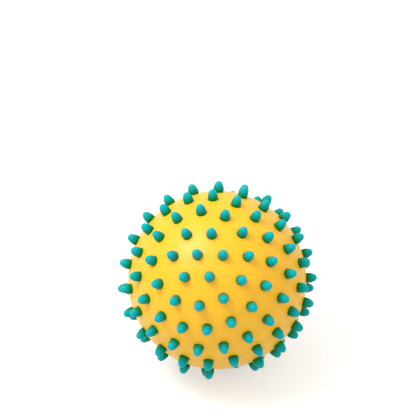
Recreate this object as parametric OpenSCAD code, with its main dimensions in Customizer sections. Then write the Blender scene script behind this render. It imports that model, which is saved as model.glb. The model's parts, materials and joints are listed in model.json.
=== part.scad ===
// Sensory ball: an air-filled skin of soft vinyl, rings of solid nubs of a second colour fused to
// it, and an air valve that a small stopper closes. Sizes are in millimetres. The origin is the
// centre of the ball and +Z is up. The ball stands on the tips of three nubs of its lower half.

/* [Skin] */
// Diameter of the skin between the nubs
skin_d = 160; // [130:1:190]
// Thickness of the skin
skin_wall = 2; // [1.2:0.1:3]
// Width of the raised line that the joint of the mould leaves round the skin
joint_line_w = 1.1; // [0.6:0.1:2]
// Height of that line above the skin
joint_line_h = 0.25; // [0.1:0.05:0.3]

/* [Nubs] */
// Diameter of a nub where it is widest
nub_d = 9.2; // [8:0.1:11]
// Height of a nub from the skin to its tip
nub_h = 9.6; // [8:0.1:13]
// Height above its foot at which a nub is widest
nub_belly = 2.2; // [0.5:0.1:3]
// How much smaller the radius of a nub is at its rounded tip than where it is widest
nub_taper = 1.1; // [0.3:0.1:2]
// Gap between the foot of a nub and the skin that it is fused to
nub_seat_gap = 0.02; // [0.01:0.01:0.1]
// Angle at the centre of the ball from one ring of nubs to the next
ring_step = 16; // [15:0.5:16.5]
// Number of nubs in each ring of the upper half, from its pole to the joint line
upper_counts = [6, 12, 17, 20, 22]; // [4:1:24]
// Number of nubs in each ring of the lower half, from its pole to the joint line
lower_counts = [6, 12, 17, 21, 22]; // [4:1:24]
// How far each ring of the upper half is turned, as a share of the angle between its nubs
upper_turn_shares = [0.23, 0.52, 0.67, 0.53, 0.31]; // [0:0.01:1]
// How far each ring of the lower half is turned, as a share of the angle between its nubs
lower_turn_shares = [0.25, 0.5, 0.75, 0.9, 0.06]; // [0:0.01:1]

/* [Valve] */
// Angle from the joint line down to the valve
valve_drop = 18; // [15:0.5:20]
// Place of the valve as an angle round the axis of the rings
valve_turn = 292; // [290:0.5:294]
// Diameter of the bare pad round the valve, which no nub reaches
pad_d = 31; // [20:0.5:40]
// Outer diameter of the neck that fills the hole in the skin
neck_d = 13; // [12:0.1:15]
// Diameter of the flange that is bonded to the inside of the skin
flange_d = 22; // [18:0.5:28]
// Thickness of that flange at its rim
flange_t = 1.6; // [1:0.1:3]
// Outer diameter of the tube that holds the shank of the stopper inside the ball
tube_d = 9; // [8:0.1:11]
// Depth of the tube below the outer face of the skin
tube_depth = 12; // [9:0.5:16]
// Gap at the bonded joints of the valve seat
bond_gap = 0.05; // [0.02:0.01:0.1]

/* [Stopper] */
// Diameter of the shank of the stopper
shank_d = 5; // [4:0.1:6]
// Length of the shank under the head, with its round nose
shank_length = 13; // [11:0.5:15]
// Diameter of the head
head_d = 8.6; // [7.5:0.1:10]
// Thickness of the head at its middle
head_t = 1.3; // [1:0.1:1.8]
// Running gap round the shank and under the head
shank_gap = 0.06; // [0.03:0.01:0.1]
// Gap between the rim of the head and the recess that it lies in
head_gap = 0.15; // [0.1:0.05:0.3]
// Width of the notch that a fingernail lifts the head from
notch_w = 3; // [2:0.1:4]

/* [Hidden] */

skin_colour = "#FBC93A";
nub_colour = "#0AA5A0";
plug_colour = "#EFE9DA";

// Facets of a full turn of a large profile, of a nub and of the arcs in a profile
skin_fn = 144;
nub_fn = 48;
arc_fn = 180;

// Depth by which a cut runs past the face that it opens
overrun = 0.5;

skin_r = skin_d / 2;
inner_r = skin_r - skin_wall;
foot_r = skin_r + nub_seat_gap;
nub_r = nub_d / 2;
tip_r = nub_r - nub_taper;
tip_z = nub_h - nub_seat_gap - tip_r;

// The side of a nub is an arc that bulges out from the foot and runs smoothly into the tip
rise = tip_z - nub_belly;
side_r = (pow(nub_r, 2) + pow(rise, 2) - pow(tip_r, 2)) / (2 * nub_taper);
side_x = nub_r - side_r;
blend_z = nub_belly + side_r * rise / norm([side_x, rise]);

// The three nubs that the ball stands on: two of ring 2 and the nearest one of ring 3
stand_angle = 270;
pair_ring = 2;
single_ring = 3;

function lower_step(ring) = 360 / lower_counts[ring - 1];
function lower_share(ring) = lower_turn_shares[ring - 1];
function slot_at_stand(ring) = stand_angle / lower_step(ring) - lower_share(ring);
function unit(v) = v / norm(v);

// Direction from the centre of the ball at an angle from the upper pole, with the rings level
function direction(polar, turn) = [sin(polar) * cos(turn), sin(polar) * sin(turn), cos(polar)];

// Direction to a nub of the lower half
function lower_nub(ring, i) =
    direction(180 - ring * ring_step, (i + lower_share(ring)) * lower_step(ring));

first_foot = lower_nub(pair_ring, floor(slot_at_stand(pair_ring)));
second_foot = lower_nub(pair_ring, floor(slot_at_stand(pair_ring)) + 1);
third_foot = lower_nub(single_ring, round(slot_at_stand(single_ring)));

// The ball is turned until the plane through the three tips is level and under it
ground = unit(cross(second_foot - first_foot, third_foot - first_foot));
down = ground * sign(ground * first_foot);
lean = acos(-down.z);
swing = stand_angle - 360 - atan2(down.y, down.x);

// A nub is left out where it would reach the bare pad of the valve
valve_polar = 90 + valve_drop;
valve_way = direction(valve_polar, valve_turn);
function off_pad(way) = norm(way - valve_way) * skin_r > pad_d / 2 + nub_r;

neck_r = neck_d / 2;
bore_r = shank_d / 2 + shank_gap;
shank_r = shank_d / 2;
head_r = head_d / 2;
recess_r = head_r + head_gap;
head_z = skin_r - head_t;
recess_z = head_z - shank_gap;
nose_z = head_z - shank_length + shank_r;
tube_z = skin_r - tube_depth;
flange_z = sqrt(pow(inner_r - bond_gap, 2) - pow(flange_d / 2, 2)) - flange_t;

// Turns the parts from level rings to the way that the ball stands
module standing() {
    rotate([lean, 0, 0])
        rotate([0, 0, swing])
            children();
}

// Points a part that is drawn along +Z out of the ball through the valve
module at_valve() {
    rotate([0, valve_polar, valve_turn])
        children();
}

// The strip of a profile on the right of the axis, from one height to another
module band(radius, low, high) {
    translate([0, low])
        square([radius, high - low]);
}

// One nub on +Z: a flat foot, a bulging side and a round tip
module nub() {
    translate([0, 0, foot_r])
        rotate_extrude($fn = nub_fn) {
            intersection() {
                translate([side_x, nub_belly])
                    circle(r = side_r, $fn = arc_fn);
                band(nub_r, 0, blend_z);
            }
            intersection() {
                translate([0, tip_z])
                    circle(r = tip_r, $fn = arc_fn);
                band(nub_r, blend_z, nub_h);
            }
        }
}

// One nub on a pole of the rings
module pole_nub(polar) {
    color(nub_colour)
        standing()
            rotate([0, polar, 0])
                nub();
}

// A ring of nubs at an angle from the upper pole
module nub_ring(polar, count, share) {
    color(nub_colour)
        standing()
            for (i = [0:count - 1])
                let (turn = (i + share) * 360 / count)
                    if (off_pad(direction(polar, turn)))
                        rotate([0, polar, turn])
                            nub();
}

module upper_ring(ring) {
    nub_ring(ring * ring_step, upper_counts[ring - 1], upper_turn_shares[ring - 1]);
}

module lower_ring(ring) {
    nub_ring(180 - ring * ring_step, lower_counts[ring - 1], lower_share(ring));
}

// The hollow ball, with its joint line and the hole for the valve
module skin() {
    color(skin_colour)
        standing()
            difference() {
                rotate_extrude($fn = skin_fn)
                    difference() {
                        intersection() {
                            union() {
                                circle(r = skin_r, $fn = skin_fn);
                                band(skin_r + joint_line_h, -joint_line_w / 2, joint_line_w / 2);
                            }
                            band(skin_d, -skin_d, skin_d);
                        }
                        circle(r = inner_r, $fn = skin_fn);
                    }
                at_valve()
                    translate([0, 0, inner_r - skin_wall])
                        cylinder(r = neck_r + bond_gap, h = skin_wall * 2 + overrun);
            }
}

// The bush in the skin: a flush neck with a recess for the head, a flange inside, and a tube
module valve_seat() {
    color(skin_colour)
        standing()
            at_valve()
                difference() {
                    rotate_extrude($fn = nub_fn)
                        difference() {
                            union() {
                                intersection() {
                                    circle(r = skin_r, $fn = skin_fn);
                                    band(neck_r, flange_z, skin_r);
                                }
                                intersection() {
                                    circle(r = inner_r - bond_gap, $fn = skin_fn);
                                    band(flange_d / 2, flange_z, skin_r);
                                }
                                band(tube_d / 2, tube_z, flange_z + flange_t);
                            }
                            band(bore_r, tube_z - overrun, skin_r + overrun);
                            band(recess_r, recess_z, skin_r + overrun);
                        }
                    translate([recess_r, 0, recess_z])
                        cylinder(d = notch_w, h = head_t + overrun, $fn = nub_fn);
                }
}

// The stopper: a head that lies flush with the skin, and a shank with a round nose
module valve_plug() {
    color(plug_colour)
        standing()
            at_valve()
                rotate_extrude($fn = nub_fn) {
                    intersection() {
                        circle(r = skin_r, $fn = skin_fn);
                        band(head_r, head_z, skin_r);
                    }
                    band(shank_r, nose_z, head_z);
                    intersection() {
                        translate([0, nose_z])
                            circle(r = shank_r, $fn = arc_fn);
                        band(shank_r, nose_z - shank_r, nose_z);
                    }
                }
}

skin();
pole_nub(0);  // upper_pole_nub
upper_ring(1);  // upper_ring_1_nubs
upper_ring(2);  // upper_ring_2_nubs
upper_ring(3);  // upper_ring_3_nubs
upper_ring(4);  // upper_ring_4_nubs
upper_ring(5);  // upper_ring_5_nubs
lower_ring(5);  // lower_ring_5_nubs
lower_ring(4);  // lower_ring_4_nubs
lower_ring(3);  // lower_ring_3_nubs
lower_ring(2);  // lower_ring_2_nubs
lower_ring(1);  // lower_ring_1_nubs
pole_nub(180);  // lower_pole_nub
valve_seat();
valve_plug();
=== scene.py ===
import json
import math

import bpy
import numpy as np
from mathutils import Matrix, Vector


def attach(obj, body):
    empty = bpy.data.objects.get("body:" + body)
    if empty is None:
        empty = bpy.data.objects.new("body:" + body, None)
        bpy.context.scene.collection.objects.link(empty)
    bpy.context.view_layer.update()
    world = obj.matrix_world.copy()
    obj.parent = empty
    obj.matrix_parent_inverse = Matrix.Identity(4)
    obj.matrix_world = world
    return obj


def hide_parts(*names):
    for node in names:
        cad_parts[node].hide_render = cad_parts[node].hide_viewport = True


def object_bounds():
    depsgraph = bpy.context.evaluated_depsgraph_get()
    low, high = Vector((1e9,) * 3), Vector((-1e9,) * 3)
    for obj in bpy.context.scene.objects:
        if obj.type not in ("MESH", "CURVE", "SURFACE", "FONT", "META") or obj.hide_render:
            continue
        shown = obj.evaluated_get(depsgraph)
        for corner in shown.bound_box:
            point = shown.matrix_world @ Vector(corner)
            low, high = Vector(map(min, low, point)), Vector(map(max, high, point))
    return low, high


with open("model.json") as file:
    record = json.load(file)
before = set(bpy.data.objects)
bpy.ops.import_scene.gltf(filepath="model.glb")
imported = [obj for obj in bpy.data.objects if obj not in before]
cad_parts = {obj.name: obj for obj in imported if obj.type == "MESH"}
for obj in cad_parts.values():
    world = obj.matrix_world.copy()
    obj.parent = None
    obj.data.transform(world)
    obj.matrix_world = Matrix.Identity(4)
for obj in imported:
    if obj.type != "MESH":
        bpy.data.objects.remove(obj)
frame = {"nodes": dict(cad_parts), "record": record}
cad_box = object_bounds()

# Camera: it looks down on the ball from the front and a little from the right, from far enough
# away that the rings of nubs keep their shape. It aims past the ball, which lies low in the
# picture. Lengths in this file are in metres where no other unit is named.
camera_turn = math.radians(20.57)
camera_height = math.radians(37.9)
camera_distance = 3.2
sensor_width_mm = 36
farthest_seen = 50
picture_width_pixels = 420
ball_across_pixels, ball_down_pixels = 217.2, 279.9
skin_radius_pixels = 89.2

skin_radius = 0.080
silhouette = skin_radius / math.sqrt(camera_distance ** 2 - skin_radius ** 2)
pixels_per_slope = skin_radius_pixels / silhouette
back = Vector((
    math.sin(camera_turn) * math.cos(camera_height),
    -math.cos(camera_turn) * math.cos(camera_height),
    math.sin(camera_height),
))
right = Vector((math.cos(camera_turn), math.sin(camera_turn), 0))
up = back.cross(right)
step = camera_distance / pixels_per_slope
middle = picture_width_pixels / 2
aim = up * (ball_down_pixels - middle) * step - right * (ball_across_pixels - middle) * step

camera_data = bpy.data.cameras.new("camera")
camera_data.sensor_width = sensor_width_mm
camera_data.lens = sensor_width_mm * pixels_per_slope / picture_width_pixels
camera_data.clip_end = farthest_seen
camera = bpy.data.objects.new("camera", camera_data)
camera.location = back * camera_distance
camera.rotation_euler = (camera.location - aim).to_track_quat("Z", "Y").to_euler()
bpy.context.scene.collection.objects.link(camera)
bpy.context.scene.camera = camera

# Skin: a hollow ball of soft yellow vinyl, turned in a heated mould until it coats the wall evenly.
# The joint of the mould leaves a fine raised line round it, and a round hole takes the air valve.
skin_wall = 0.002
bead_width = 0.0011
bead_height = 0.00012
bead_rows = 9
hole_radius = 0.00655
hole_edge = 0.0003
hole_edge_turns = np.radians([30, 60, 90])
skin_columns = 240
skin_row_degrees = 1.5
patch_half = math.radians(8)
patch_rows = 7

skin_colour = (1.0, 0.56, 0.008)
skin_shade = (1.0, 0.52, 0.005)
skin_roughness = 0.42
skin_bleed = 0.25
skin_gloss = 0.55
skin_grain = 900
cloud_scale, cloud_detail = 28, 4
handling_scale, handling_detail = 90, 6
handling_spread = 0.07
pebble_detail = 2
pebble_strength = 0.12
pebble_depth = 0.0002
bleed_depth = 0.002
bleed_shares = (1.0, 0.35, 0.12)

nodes = frame["nodes"]


def corners(node):
    """All corners of a CAD node's mesh at rest, one row each."""
    mesh = nodes[node].data
    flat = np.empty(len(mesh.vertices) * 3)
    mesh.vertices.foreach_get("co", flat)
    return flat.reshape(-1, 3)


def unit(vectors):
    """Each vector divided by its own length."""
    return vectors / np.linalg.norm(vectors, axis=-1, keepdims=True)


def across(axis):
    """Two unit vectors square to an axis and to each other: the level one first."""
    level = unit(np.cross([0.0, 0.0, 1.0], axis))
    return level, np.cross(axis, level)


def farthest(node):
    """The corner of a CAD node that is farthest from the centre of the ball."""
    points = corners(node)
    return points[np.argmax(np.linalg.norm(points, axis=1))]


def even_turns(count):
    """Angles of a whole turn in equal steps."""
    return np.arange(count) * 2 * np.pi / count


def ring_quads(rows, columns):
    """Quads between rows of points that each close into a ring: two neighbours of a row and the
    two above them."""
    row, column = np.mgrid[0:rows - 1, 0:columns]
    after = (column + 1) % columns
    quads = [row * columns + column, row * columns + after,
             (row + 1) * columns + after, (row + 1) * columns + column]
    return np.stack(quads, axis=-1).reshape(-1, 4)


def join_rings(lower, upper):
    """Quads between two rings of points, given as indices: two neighbours of each ring."""
    return np.stack([lower, np.roll(lower, -1), np.roll(upper, -1), upper], axis=-1)


def close_ring(ring, pole):
    """Triangles from each two neighbours of a ring of points to a pole, given as indices."""
    return np.stack([ring, np.roll(ring, -1), ring * 0 + pole], axis=-1)


def make_piece(name, points, faces, material, body, replaced):
    """A smooth mesh of these points and faces that rides on a body and stands for a CAD node."""
    mesh = bpy.data.meshes.new(name)
    mesh.from_pydata(points.tolist(), [], [list(map(int, face)) for face in faces])
    mesh.validate()
    mesh.polygons.foreach_set("use_smooth", np.ones(len(mesh.polygons), bool))
    mesh.materials.append(material)
    piece = bpy.data.objects.new(name, mesh)
    bpy.context.scene.collection.objects.link(piece)
    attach(piece, body)
    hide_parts(replaced)
    return piece


def noise(tree, place, scale, detail):
    """The output of a noise pattern on the object's own coordinates."""
    pattern = tree.nodes.new("ShaderNodeTexNoise")
    pattern.inputs["Scale"].default_value = scale
    pattern.inputs["Detail"].default_value = detail
    tree.links.new(place.outputs["Object"], pattern.inputs["Vector"])
    return pattern.outputs["Fac"]


def vinyl(name, colour, shade, roughness, bleed, gloss, grain):
    """Soft vinyl: two close shades in slow clouds, a satin sheen that varies where hands have
    touched it, and a fine pebbled grain."""
    material = bpy.data.materials.new(name)
    material.use_nodes = True
    tree = material.node_tree
    shader = tree.nodes["Principled BSDF"]
    place = tree.nodes.new("ShaderNodeTexCoord")

    blend = tree.nodes.new("ShaderNodeMix")
    blend.data_type = "RGBA"
    blend.inputs["A"].default_value = (*colour, 1)
    blend.inputs["B"].default_value = (*shade, 1)
    tree.links.new(noise(tree, place, cloud_scale, cloud_detail), blend.inputs["Factor"])
    tree.links.new(blend.outputs["Result"], shader.inputs["Base Color"])

    sheen = tree.nodes.new("ShaderNodeMapRange")
    sheen.inputs["To Min"].default_value = roughness - handling_spread
    sheen.inputs["To Max"].default_value = roughness + handling_spread
    tree.links.new(noise(tree, place, handling_scale, handling_detail), sheen.inputs["Value"])
    tree.links.new(sheen.outputs["Result"], shader.inputs["Roughness"])

    bump = tree.nodes.new("ShaderNodeBump")
    bump.inputs["Strength"].default_value = pebble_strength
    bump.inputs["Distance"].default_value = pebble_depth
    tree.links.new(noise(tree, place, grain, pebble_detail), bump.inputs["Height"])
    tree.links.new(bump.outputs["Normal"], shader.inputs["Normal"])

    shader.inputs["Subsurface Weight"].default_value = bleed
    shader.inputs["Subsurface Scale"].default_value = bleed_depth
    shader.inputs["Subsurface Radius"].default_value = bleed_shares
    shader.inputs["Specular IOR Level"].default_value = gloss
    return material


def round_valve(distance, turn, radius):
    """Points at an angle from the valve's axis and a turn round it, at a distance from the
    centre of the ball."""
    around = np.cos(turn)[..., None] * valve_side + np.sin(turn)[..., None] * valve_up
    ray = np.cos(distance)[..., None] * valve_axis + np.sin(distance)[..., None] * around
    return ray * np.broadcast_to(radius, distance.shape)[..., None]


def skin_sphere():
    """The skin as rows of points round the axis of the rings of nubs, each row at one angle from
    the upper pole. At the joint line the rows lie closer and bulge out as half an ellipse."""
    edge = math.degrees(bead_width / 2 / skin_radius)
    sweep = np.radians(np.linspace(-90, 90, bead_rows))
    bead_angles = 90 + edge * np.sin(sweep)
    bead_rise = bead_height * np.cos(sweep)
    upper_rows = np.linspace(0, 90 - edge, round(90 / skin_row_degrees) + 1)[1:-1]
    polar = np.radians(np.concatenate([upper_rows, bead_angles, 180 - upper_rows[::-1]]))
    radius = skin_radius + np.concatenate([upper_rows * 0, bead_rise, upper_rows * 0])
    turn = even_turns(skin_columns)
    width = np.outer(np.sin(polar) * radius, np.cos(turn))
    depth = np.outer(np.sin(polar) * radius, np.sin(turn))
    height = np.broadcast_to((np.cos(polar) * radius)[:, None], width.shape)
    return np.stack([width, depth, height], axis=-1) @ stand.T, polar, turn


def border_loop(first_row, last_row, first_column, last_column):
    """The points round a block of the skin's grid, one way round, as rows and columns."""
    rows = np.arange(first_row, last_row + 1)
    columns = np.arange(first_column, last_column + 1)
    row = np.concatenate([
        rows, columns[1:] * 0 + last_row, rows[-2::-1], columns[-2:0:-1] * 0 + first_row])
    column = np.concatenate([
        rows * 0 + first_column, columns[1:], rows[:-1] * 0 + last_column, columns[-2:0:-1]])
    return row, column


# The ball stands with the axis of its rings leaning towards the front
ring_axis = unit(farthest("upper_pole_nub"))
lean = math.atan2(-ring_axis[1], ring_axis[2])
stand = np.array([
    [1, 0, 0],
    [0, math.cos(lean), -math.sin(lean)],
    [0, math.sin(lean), math.cos(lean)],
])
valve_axis = unit(np.array(next(
    mount["axis"] for mount in frame["record"]["mounts"] if mount["name"] == "air_valve")))
valve_side, valve_up = across(valve_axis)

sphere, polar, turn = skin_sphere()
sphere_rows = len(polar)
poles = np.array([ring_axis, -ring_axis]) * skin_radius

# The block of the grid that the valve's hole is cut in, with the hole at its middle
level_valve = stand.T @ valve_axis
valve_polar = math.acos(level_valve[2])
valve_turn = math.atan2(level_valve[1], level_valve[0]) % (2 * np.pi)
patch_row = np.flatnonzero(np.abs(polar - valve_polar) < patch_half)
patch_column = np.flatnonzero(np.abs(turn - valve_turn) < patch_half / math.sin(valve_polar))
block = patch_row[0], patch_row[-1], patch_column[0], patch_column[-1]
loop_row, loop_column = border_loop(*block)
loop_index = loop_row * skin_columns + loop_column

# Rings of points from that block's border in to the hole, then over its rounded edge
border = sphere[loop_row, loop_column]
border_distance = np.arccos(np.clip(unit(border) @ valve_axis, -1, 1))
border_turn = np.arctan2(unit(border) @ valve_up, unit(border) @ valve_side)
loop_length = len(loop_index)
shares = np.arange(1, patch_rows + 1) / patch_rows
lip = (hole_radius + hole_edge) / skin_radius
inwards = border_distance + (lip - border_distance) * shares[:, None]
patch = [round_valve(distance, border_turn, skin_radius) for distance in inwards]
for edge_turn in hole_edge_turns:
    edge_distance = (hole_radius + hole_edge * (1 - math.sin(edge_turn))) / skin_radius
    edge_radius = skin_radius - hole_edge * (1 - math.cos(edge_turn))
    patch.append(round_valve(border_distance * 0 + edge_distance, border_turn, edge_radius))
patch_count = len(patch)

outer_points = np.concatenate([sphere.reshape(-1, 3), np.concatenate(patch), poles])
lower_pole = len(outer_points) - 1
upper_pole = lower_pole - 1
outer_quads = ring_quads(sphere_rows, skin_columns)
quad_row, quad_column = np.divmod(np.arange(len(outer_quads)), skin_columns)
in_block = ((quad_row >= block[0]) & (quad_row < block[1])
            & (quad_column >= block[2]) & (quad_column < block[3]))
first_patch = sphere_rows * skin_columns
patch_quads = ring_quads(patch_count, loop_length) + first_patch
seam = join_rings(loop_index, first_patch + np.arange(loop_length))
upper_row = np.arange(skin_columns)
lower_row = (sphere_rows - 1) * skin_columns + upper_row
outer_faces = [
    *outer_quads[~in_block][:, ::-1], *patch_quads, *seam,
    *close_ring(upper_row, upper_pole), *close_ring(lower_row, lower_pole)[:, ::-1]]

# The inner wall repeats the outer one at the inner radius, facing the other way
inner_points = unit(outer_points) * (skin_radius - skin_wall)
inner_start = len(outer_points)
inner_faces = [face[::-1] + inner_start for face in outer_faces]
hole_rim = first_patch + (patch_count - 1) * loop_length + np.arange(loop_length)
hole_wall = join_rings(hole_rim, hole_rim + inner_start)

skin_vinyl = vinyl(
    "skin_vinyl", skin_colour, skin_shade, skin_roughness, skin_bleed, skin_gloss, skin_grain)
make_piece("ball_skin", np.concatenate([outer_points, inner_points]),
           [*outer_faces, *inner_faces, *hole_wall], skin_vinyl, "ball", "skin")

# Nubs: solid teal vinyl, poured into the hollows of the mould before the skin, so that each is
# fused to the skin at its foot. Each is painted darker and greener towards its foot: partly the
# foot's own colour and partly painted contact shade where the nub meets the skin. They stand in
# rings round both poles, and two are left out where the valve is.
nub_radius = 0.0046
nub_belly = 0.0022
nub_height = 0.0096
nub_taper = 0.0011
nub_sink = 0.0003
nub_tip_turns = np.radians([22, 45, 68])
nub_sides = 16
ring_step = math.radians(16)
upper_counts = [6, 12, 17, 20, 22]
lower_counts = [6, 12, 17, 21, 22]
upper_turn_shares = [0.23, 0.52, 0.67, 0.53, 0.31]
lower_turn_shares = [0.25, 0.5, 0.75, 0.9, 0.06]
pad_radius = 0.0155

nub_colour = (0.001, 0.45, 0.52)
nub_shade = (0.001, 0.4, 0.48)
nub_roughness = 0.26
nub_bleed = 0.05
nub_gloss = 0.07
nub_grain = 1500
# Dark green painted on each nub from its foot up to this height, fading towards the tip: partly the
# foot's own colour, partly painted contact shade
foot_tint_and_shade_colour = (0.001, 0.2, 0.04)
foot_tint_and_shade_height = 0.0092


def foot_tint_and_shade(material):
    """Blends a dark green into a material by a point attribute: partly the nubs' own colour at
    their feet, and painted contact shade at the feet and in the rings round them.
    """
    tree = material.node_tree
    shader = tree.nodes["Principled BSDF"]
    clear_colour = shader.inputs["Base Color"].links[0].from_socket
    reader = tree.nodes.new("ShaderNodeAttribute")
    reader.attribute_name = "foot_tint_and_shade"
    share = tree.nodes.new("ShaderNodeMapRange")
    share.interpolation_type = "SMOOTHSTEP"
    tree.links.new(reader.outputs["Fac"], share.inputs["Value"])
    blend = tree.nodes.new("ShaderNodeMix")
    blend.data_type = "RGBA"
    blend.inputs["B"].default_value = (*foot_tint_and_shade_colour, 1)
    tree.links.new(share.outputs["Result"], blend.inputs["Factor"])
    tree.links.new(clear_colour, blend.inputs["A"])
    tree.links.new(blend.outputs["Result"], shader.inputs["Base Color"])
    return material


def set_foot_tint_and_shade(piece, shares):
    """Stores how strong the painted dark green of the feet, own colour and contact shade, is at
    each point of a piece, from none to full.
    """
    layer = piece.data.attributes.new("foot_tint_and_shade", "FLOAT", "POINT")
    layer.data.foreach_set("value", shares.clip(0, 1))


def ring_directions(polar, share, count):
    """Directions from the centre of the ball to the nubs of a ring, at even turns round its axis,
    without those whose nub would reach the valve's bare pad."""
    turn = (np.arange(count) + share) * 2 * np.pi / count
    level = np.stack([math.sin(polar) * np.cos(turn), math.sin(polar) * np.sin(turn),
                      turn * 0 + math.cos(polar)], axis=-1)
    turned = level @ stand.T
    from_valve = np.linalg.norm(turned - valve_axis, axis=1) * skin_radius
    return turned[from_valve > pad_radius + nub_radius]


def nub_profile():
    """Distance from the nub's axis and height above the skin: the sunk foot, a side that is one
    long arc, widest at the belly, and a round tip that the arc runs smoothly into."""
    tip_radius = nub_radius - nub_taper
    tip_centre = nub_height - tip_radius
    rise = tip_centre - nub_belly
    side_arc = (nub_radius ** 2 + rise ** 2 - tip_radius ** 2) / (2 * nub_taper)
    side_height = np.array([-nub_sink, nub_belly, nub_belly + rise / 2])
    side = nub_radius - side_arc + np.sqrt(side_arc ** 2 - (side_height - nub_belly) ** 2)
    distance = np.concatenate([side, tip_radius * np.cos(nub_tip_turns)])
    height = np.concatenate([side_height, tip_centre + tip_radius * np.sin(nub_tip_turns)])
    return distance, height


def round_each(directions):
    """Unit vectors square to each direction, one for each side of a nub, evenly round it."""
    turn = even_turns(nub_sides)
    side, rise = across(directions)
    return (np.cos(turn)[None, :, None] * side[:, None, :]
            + np.sin(turn)[None, :, None] * rise[:, None, :])


def make_nubs(node, directions):
    """A nub on each direction: its profile carried round the direction, closed by a point at the
    tip and a flat foot."""
    distance, height = nub_profile()
    rows = len(distance)
    body = (distance[None, :, None, None] * round_each(directions)[:, None]
            + (skin_radius + height)[None, :, None, None] * directions[:, None, None, :])
    body = body.reshape(len(directions), -1, 3)
    tips = directions * (skin_radius + nub_height)
    points = np.concatenate([body, tips[:, None]], axis=1)
    per_nub = points.shape[1]
    foot = np.arange(nub_sides)
    sides = ring_quads(rows, nub_sides)
    tip = close_ring((rows - 1) * nub_sides + foot, per_nub - 1)
    faces = []
    for start in np.arange(len(directions)) * per_nub:
        faces += [*(sides + start), *(tip + start), start + foot[::-1]]
    piece = make_piece(node.replace("_nub", "_vinyl_nub"), points.reshape(-1, 3), faces,
                       nub_vinyl, "ball", node)
    # Painted dark green, full at the foot and fading out towards the tip: partly the foot's own
    # colour and partly painted contact shade
    shares = 1 - np.concatenate([np.repeat(height, nub_sides), [nub_height]]) / foot_tint_and_shade_height
    set_foot_tint_and_shade(piece, np.tile(shares, len(directions)))


# The nubs' vinyl, painted dark green towards each foot: partly the foot's own colour, partly
# painted contact shade
nub_vinyl = foot_tint_and_shade(vinyl(
    "nub_vinyl", nub_colour, nub_shade, nub_roughness, nub_bleed, nub_gloss, nub_grain))
nub_places = {"upper_pole_nub": ring_axis[None], "lower_pole_nub": -ring_axis[None]}
for ring, (count, share) in enumerate(zip(upper_counts, upper_turn_shares), start=1):
    nub_places[f"upper_ring_{ring}_nubs"] = ring_directions(ring * ring_step, share, count)
for ring, (count, share) in enumerate(zip(lower_counts, lower_turn_shares), start=1):
    lower_polar = math.pi - ring * ring_step
    nub_places[f"lower_ring_{ring}_nubs"] = ring_directions(lower_polar, share, count)
for node, places in nub_places.items():
    make_nubs(node, places)

# Shade rings: a dark green ring painted on the skin round each nub's foot, as painted contact
# shade where the nub meets the skin. It is part of the skin's surface and fades into the yellow
# within a millimetre.
shade_ring_width = 0.001
shade_ring_lift = 0.00002
shade_ring_crease = math.radians(45)
shade_ring_bleed = 0


def make_shade_rings(directions):
    """A ring of painted contact shade round the foot of each nub, which fades out from the foot.
    Its
    profile is a closed box: up the inner wall, out over the skin, down the outer wall, back inside
    the skin."""
    foot = nub_profile()[0][0]
    distance = foot + np.array([-shade_ring_lift, -shade_ring_lift, shade_ring_width / 2, shade_ring_width, shade_ring_width])
    height = np.array([-nub_sink, shade_ring_lift, shade_ring_lift, shade_ring_lift, -nub_sink])
    # Painted contact shade: full at the foot, half across the ring, none at its outer edge
    strength = [1.0, 1.0, 0.5, 0.0, 0.0]
    angle = (distance / skin_radius)[None, :, None, None]
    points = (np.cos(angle) * directions[:, None, None, :]
              + np.sin(angle) * round_each(directions)[:, None])
    points = (points * (skin_radius + height)[None, :, None, None]).reshape(-1, 3)
    per_nub = len(distance) * nub_sides
    first = np.arange(nub_sides)
    underside = join_rings(first + per_nub - nub_sides, first)
    quads = np.concatenate([ring_quads(len(distance), nub_sides), underside])[:, ::-1]
    starts = np.arange(len(directions)) * per_nub
    faces = (quads[None] + starts[:, None, None]).reshape(-1, 4)
    piece = make_piece("nub_stains", points, faces, shade_ring_vinyl, "ball", "skin")
    piece.data.set_sharp_from_angle(angle=shade_ring_crease)
    set_foot_tint_and_shade(piece, np.tile(np.repeat(strength, nub_sides), len(directions)))


# The rings' vinyl is the skin's, painted dark green towards each foot as contact shade
shade_ring_vinyl = foot_tint_and_shade(vinyl(
    "shade_ring_vinyl", skin_colour, skin_shade, skin_roughness, shade_ring_bleed, skin_gloss, skin_grain))
make_shade_rings(np.concatenate(list(nub_places.values())))

# Valve seat: a bush of the skin's own vinyl, bonded in the hole from inside. Its flange lies
# against the inner wall, its neck fills the hole flush, and the stopper's head lies in its recess,
# which has a notch for a fingernail.
neck_radius = 0.0065
recess_radius = 0.00445
recess_depth = 0.00136
notch_radius = 0.0015
bore_radius = 0.00256
flange_radius = 0.011
flange_thickness = 0.0016
tube_radius = 0.0045
tube_depth = 0.012
bond_gap = 0.00005
seat_edge = 0.0002
notch_columns = 13
wall_columns = 46


def on_ball(distance, ball_radius):
    """Height along the valve's axis of a ball's surface at a distance from that axis."""
    return np.sqrt(ball_radius ** 2 - distance ** 2)


def carry_round(profile, turn, first_side):
    """Points of a profile, given as arrays of distances and heights along the valve's axis with a
    column for each turn, carried round that axis."""
    second_side = np.cross(valve_axis, first_side)
    around = np.cos(turn)[:, None] * first_side + np.sin(turn)[:, None] * second_side
    return np.concatenate([
        distance[:, None] * around + height[:, None] * valve_axis for distance, height in profile])


# The notch is on the side of the valve that faces away from the upper pole
level_down = np.array([math.cos(valve_polar) * math.cos(valve_turn),
                       math.cos(valve_polar) * math.sin(valve_turn), -math.sin(valve_polar)])
notch_side = stand @ level_down
notch_half = 2 * math.asin(notch_radius / 2 / recess_radius)
notch_turn = notch_half * np.sin(np.radians(np.linspace(-90, 90, notch_columns)))
wall_turn = np.linspace(notch_half, 2 * np.pi - notch_half, wall_columns)[1:-1]
seat_turn = np.concatenate([notch_turn, wall_turn])

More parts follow.
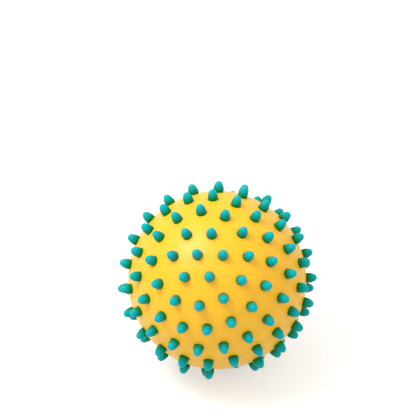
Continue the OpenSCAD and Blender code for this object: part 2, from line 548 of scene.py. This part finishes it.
# The wall of the recess bulges out where a fingernail gets under the head of the stopper
in_notch = np.abs(seat_turn) < notch_half
reach = np.sqrt(np.maximum(notch_radius ** 2 - (recess_radius * np.sin(seat_turn)) ** 2, 0))
bulge = np.maximum(recess_radius, recess_radius * np.cos(seat_turn) + reach)
wall = np.where(in_notch, bulge, recess_radius)

# The profile goes up the bore, out over the recess and the neck, and back down round the flange
# and the tube. "soft" is how far the middle of a rounded edge lies in from its corner.
even = np.ones(len(seat_turn))
recess_floor = skin_radius - recess_depth
bond_radius = skin_radius - skin_wall - bond_gap
flange_floor = on_ball(flange_radius, bond_radius) - flange_thickness
tube_floor = skin_radius - tube_depth
soft = seat_edge * (1 - math.sqrt(0.5))
seat_profile = [
    (even * bore_radius, even * tube_floor),
    (even * bore_radius, even * (recess_floor - seat_edge)),
    (even * (bore_radius + seat_edge), even * recess_floor),
    (wall - seat_edge, even * recess_floor),
    (wall, even * (recess_floor + seat_edge)),
    (wall, on_ball(wall, skin_radius) - seat_edge),
    (wall + soft, on_ball(wall, skin_radius) - soft),
    (wall + seat_edge, on_ball(wall + seat_edge, skin_radius)),
    (even * (neck_radius - seat_edge), even * on_ball(neck_radius - seat_edge, skin_radius)),
    (even * (neck_radius - soft), even * (on_ball(neck_radius, skin_radius) - soft)),
    (even * neck_radius, even * (on_ball(neck_radius, skin_radius) - seat_edge)),
    (even * neck_radius, even * on_ball(neck_radius, bond_radius)),
    (even * (flange_radius - seat_edge), even * on_ball(flange_radius - seat_edge, bond_radius)),
    (even * flange_radius, even * (on_ball(flange_radius, bond_radius) - seat_edge)),
    (even * flange_radius, even * (flange_floor + seat_edge)),
    (even * (flange_radius - seat_edge), even * flange_floor),
    (even * (tube_radius + seat_edge), even * flange_floor),
    (even * tube_radius, even * (flange_floor - seat_edge)),
    (even * tube_radius, even * (tube_floor + seat_edge)),
    (even * (tube_radius - seat_edge), even * tube_floor),
]
seat_columns = len(seat_turn)
seat_first = np.arange(seat_columns)
seat_last = (len(seat_profile) - 1) * seat_columns + seat_first
seat_quads = np.concatenate([
    ring_quads(len(seat_profile), seat_columns), join_rings(seat_last, seat_first)])
make_piece("valve_bush", carry_round(seat_profile, seat_turn, notch_side), seat_quads[:, ::-1],
           skin_vinyl, "ball", "valve_seat")

# Stopper: one piece of milky soft vinyl. Its head lies flush in the recess, and its shank, which
# is squeezed into the bore, keeps the air in until a fingernail lifts it out.
head_radius = 0.0043
head_thickness = 0.0013
head_edge = 0.00025
head_edge_turns = np.radians([0, 30, 60, 90])
head_dome_shares = np.array([0.3, 0.7])
shank_radius = 0.0025
shank_length = 0.013
nose_turns = np.radians([25, 50, 72])
plug_columns = 40

plug_colour = (0.86, 0.82, 0.71)
plug_shade = (0.82, 0.77, 0.65)
plug_roughness = 0.36
plug_bleed = 0.3
plug_gloss = 0.4
plug_grain = 1200

# The profile goes out over the head and its rounded rim, and in to the shank and its round nose
head_floor = skin_radius - head_thickness
nose_centre = head_floor - shank_length + shank_radius
dome = head_dome_shares * head_radius
rim_middle = head_radius - head_edge
rim_floor = on_ball(rim_middle, skin_radius) - head_edge
plug_distance = np.concatenate([
    dome,
    rim_middle + head_edge * np.sin(head_edge_turns),
    [head_radius, head_radius - head_edge / 2, shank_radius + head_edge / 2, shank_radius],
    [shank_radius],
    shank_radius * np.cos(nose_turns),
])
plug_height = np.concatenate([
    on_ball(dome, skin_radius),
    rim_floor + head_edge * np.cos(head_edge_turns),
    [head_floor + head_edge / 2, head_floor, head_floor, head_floor - head_edge / 2],
    [nose_centre],
    nose_centre - shank_radius * np.sin(nose_turns),
])
plug_even = np.ones(plug_columns)
plug_points = carry_round(
    [(plug_even * distance, plug_even * height)
     for distance, height in zip(plug_distance, plug_height)],
    even_turns(plug_columns), notch_side)
plug_poles = np.array([skin_radius, nose_centre - shank_radius])[:, None] * valve_axis
plug_rows = len(plug_distance)
plug_first = np.arange(plug_columns)
plug_last = (plug_rows - 1) * plug_columns + plug_first
head_pole = plug_rows * plug_columns
nose_pole = head_pole + 1
plug_faces = [
    *ring_quads(plug_rows, plug_columns)[:, ::-1],
    *close_ring(plug_first, head_pole),
    *close_ring(plug_last, nose_pole)[:, ::-1],
]
plug_vinyl = vinyl(
    "plug_vinyl", plug_colour, plug_shade, plug_roughness, plug_bleed, plug_gloss, plug_grain)
make_piece("valve_stopper", np.concatenate([plug_points, plug_poles]), plug_faces,
           plug_vinyl, "plug", "valve_plug")

# Floor and light: a plain pale floor that shows as white and keeps a faint shadow, one large soft
# lamp high on the left, and a plain room that is white to look at and lights a little warmer.
floor_half = 30
floor_colour = (0.6, 0.63, 0.67)
floor_roughness = 0.9
floor_gloss = 0.1
floor_glow = 0.5
room_seen_colour, room_seen_strength = (1, 1, 1), 1.0
room_light_colour, room_light_strength = (1, 0.93, 0.85), 0.98
lamp_way = Vector((-0.42, -0.25, 0.87)).normalized()
lamp_distance = 1.6
lamp_width = 0.8
lamp_watts = 15

floor_height = cad_box[0].z
floor_mesh = bpy.data.meshes.new("floor")
floor_mesh.from_pydata([
    (-floor_half, -floor_half, floor_height), (floor_half, -floor_half, floor_height),
    (floor_half, floor_half, floor_height), (-floor_half, floor_half, floor_height),
], [], [(0, 1, 2, 3)])
floor = bpy.data.objects.new("floor", floor_mesh)
bpy.context.scene.collection.objects.link(floor)


def seen_ray(tree):
    """The output of a node that is 1 for a ray from the camera, a reflection or a clear piece,
    which shows what it hits, and 0 for a ray that only gathers light."""
    rays = tree.nodes.new("ShaderNodeLightPath")
    found = rays.outputs["Is Camera Ray"]
    for kind in ("Is Glossy Ray", "Is Transmission Ray"):
        larger = tree.nodes.new("ShaderNodeMath")
        larger.operation = "MAXIMUM"
        tree.links.new(found, larger.inputs[0])
        tree.links.new(rays.outputs[kind], larger.inputs[1])
        found = larger.outputs[0]
    return found


floor_paint = bpy.data.materials.new("floor_paint")
floor_paint.use_nodes = True
floor_tree = floor_paint.node_tree
floor_shader = floor_tree.nodes["Principled BSDF"]
floor_shader.inputs["Base Color"].default_value = (*floor_colour, 1)
floor_shader.inputs["Roughness"].default_value = floor_roughness
floor_shader.inputs["Specular IOR Level"].default_value = floor_gloss
glow = floor_tree.nodes.new("ShaderNodeEmission")
glow_level = floor_tree.nodes.new("ShaderNodeMath")
glow_level.operation = "MULTIPLY"
glow_level.inputs[1].default_value = floor_glow
floor_tree.links.new(seen_ray(floor_tree), glow_level.inputs[0])
floor_tree.links.new(glow_level.outputs[0], glow.inputs["Strength"])
floor_sum = floor_tree.nodes.new("ShaderNodeAddShader")
floor_tree.links.new(floor_shader.outputs[0], floor_sum.inputs[0])
floor_tree.links.new(glow.outputs[0], floor_sum.inputs[1])
floor_tree.links.new(floor_sum.outputs[0], floor_tree.nodes["Material Output"].inputs["Surface"])
floor_mesh.materials.append(floor_paint)

room = bpy.data.worlds.new("room")
bpy.context.scene.world = room
room.use_nodes = True
room_tree = room.node_tree
room_shader = room_tree.nodes["Background"]
room_seen = seen_ray(room_tree)
room_level = room_tree.nodes.new("ShaderNodeMapRange")
room_level.inputs["To Min"].default_value = room_light_strength
room_level.inputs["To Max"].default_value = room_seen_strength
room_tree.links.new(room_seen, room_level.inputs["Value"])
room_tree.links.new(room_level.outputs["Result"], room_shader.inputs["Strength"])
room_tint = room_tree.nodes.new("ShaderNodeMix")
room_tint.data_type = "RGBA"
room_tint.inputs["A"].default_value = (*room_light_colour, 1)
room_tint.inputs["B"].default_value = (*room_seen_colour, 1)
room_tree.links.new(room_seen, room_tint.inputs["Factor"])
room_tree.links.new(room_tint.outputs["Result"], room_shader.inputs["Color"])

lamp_data = bpy.data.lights.new("soft_lamp", "AREA")
lamp_data.shape = "DISK"
lamp_data.size = lamp_width
lamp_data.energy = lamp_watts
lamp = bpy.data.objects.new("soft_lamp", lamp_data)
lamp.location = lamp_way * lamp_distance
lamp.rotation_euler = lamp_way.to_track_quat("Z", "Y").to_euler()
bpy.context.scene.collection.objects.link(lamp)

bpy.context.scene.view_settings.view_transform = "Standard"
